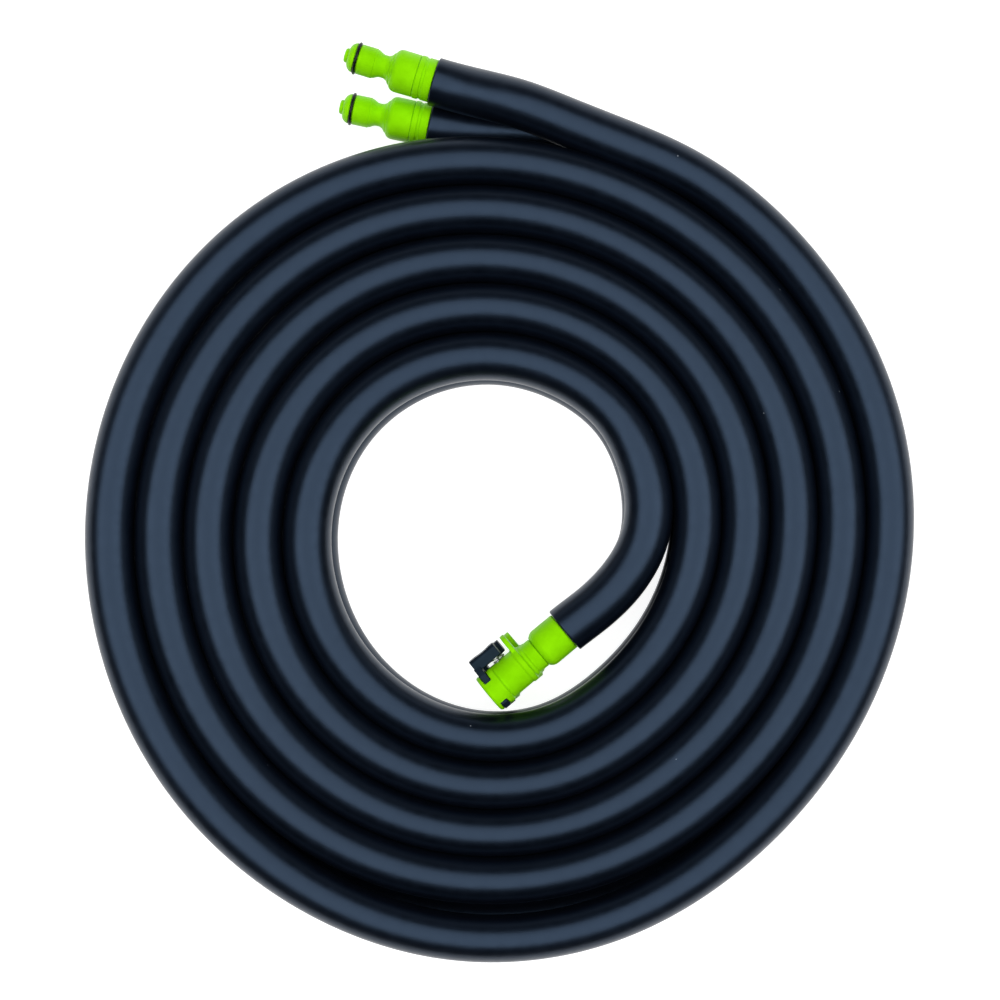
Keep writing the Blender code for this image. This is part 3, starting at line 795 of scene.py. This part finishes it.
# How its glow varies from its middle to its sides, and from the view's bottom to its top.
SOFTBOX_SIDES = (0.88, 1.3)
SOFTBOX_ENDS = (1.1, 0.9)
# A pale wall beyond the top of the view, seen only low down, in the flanks of the hose.
# It fades out between the two rises, and fades in between the two reaches.
WALL_GLOW = 0.9
WALL_RISE = (0.10, 0.40)
WALL_REACH = (0.1, 0.7)
STUDIO_DARK = 0.004

FLOOR_ALBEDO = 0.40
FLOOR_GLOW = 0.86
FLOOR_SIZE = 40.0
FLOOR_DROP = 0.0002


def add_softbox():
    """World light: the oval softbox, the low wall and the dark room round them."""
    world = bpy.data.worlds.new("studio")
    world.use_nodes = True
    tree = world.node_tree
    background = tree.nodes["Background"]
    background.inputs["Color"].default_value = (0.97, 0.985, 1.0, 1.0)
    way = node(tree, "TexCoord").outputs["Generated"]
    rise = node(tree, "SeparateXYZ", {"Vector": way}).outputs["Z"]
    across = node(tree, "VectorMath", {0: way, 1: in_view(1, 0, 0)}, operation="DOT_PRODUCT")
    along = node(tree, "VectorMath", {0: way, 1: in_view(0, 1, 0)}, operation="DOT_PRODUCT")
    across, along = across.outputs["Value"], along.outputs["Value"]
    wide = maths(tree, "DIVIDE", maths(tree, "SUBTRACT", across, SOFTBOX_SHIFT), SOFTBOX_ACROSS)
    tall = maths(tree, "DIVIDE", along, SOFTBOX_ALONG)
    wide, tall = maths(tree, "MULTIPLY", wide, wide), maths(tree, "MULTIPLY", tall, tall)
    reach = maths(tree, "ADD", wide, tall)
    inside = node(tree, "MapRange", {"Value": reach, "From Min": SOFTBOX_EDGE[0],
                                     "From Max": SOFTBOX_EDGE[1], "To Min": 1.0, "To Max": 0.0},
                  interpolation_type="SMOOTHSTEP").outputs["Result"]
    above = maths(tree, "GREATER_THAN", rise, 0.0)
    glow = maths(tree, "MULTIPLY", maths(tree, "MULTIPLY", inside, above), SOFTBOX_GLOW)
    glow = maths(tree, "MULTIPLY", glow, remap(tree, wide, 0.0, 0.9, *SOFTBOX_SIDES))
    glow = maths(tree, "MULTIPLY", glow, remap(tree, along, -0.5, 0.5, *SOFTBOX_ENDS))
    low = remap(tree, rise, *WALL_RISE, 1.0, 0.0)
    wall = maths(tree, "MULTIPLY", low, remap(tree, along, *WALL_REACH, 0.0, WALL_GLOW))
    glow = maths(tree, "ADD", maths(tree, "ADD", glow, wall), STUDIO_DARK)
    tree.links.new(glow, background.inputs["Strength"])
    bpy.context.scene.world = world


def add_floor():
    """The pale floor. It gives off light of its own, so that it stays white to the edges."""
    made, _, shader = new_material("floor", (FLOOR_ALBEDO,) * 3, 0.9)
    shader.inputs["Emission Color"].default_value = (1, 1, 1, 1)
    shader.inputs["Emission Strength"].default_value = FLOOR_GLOW
    mesh_data = bmesh.new()
    bmesh.ops.create_grid(mesh_data, x_segments=8, y_segments=8, size=FLOOR_SIZE)
    floor = bpy.data.objects.new("floor", to_mesh("floor", mesh_data))
    floor.data.materials.append(made)
    floor.location = (0, 0, -FLOOR_DROP)
    bpy.context.scene.collection.objects.link(floor)


# --- assembly ------------------------------------------------------------------------

LEVELS = (
    ("upper", (UPPER_IN, UPPER_OUT, UPPER_LAP, UPPER_GROWTH, UPPER_BOW, UPPER_HEIGHT),
     UPPER_INSERT_HEADING),
    ("lower", (LOWER_IN, LOWER_OUT, LOWER_LAP, LOWER_GROWTH, LOWER_BOW, LOWER_HEIGHT),
     LOWER_INSERT_HEADING),
)


def build():
    add_camera()
    for level, lay, heading in LEVELS:
        foam, line, socket_end, insert_end = add_hose(level, hose_route(*lay), heading)
        add_socket(level, socket_end)
        add_insert(level, insert_end, heading)
        length = float(np.linalg.norm(np.diff(line, axis=0), axis=1).sum())
        print(level, "hose length", round(length, 4))
    add_softbox()
    add_floor()
    bpy.context.scene.view_settings.view_transform = "Standard"


build()
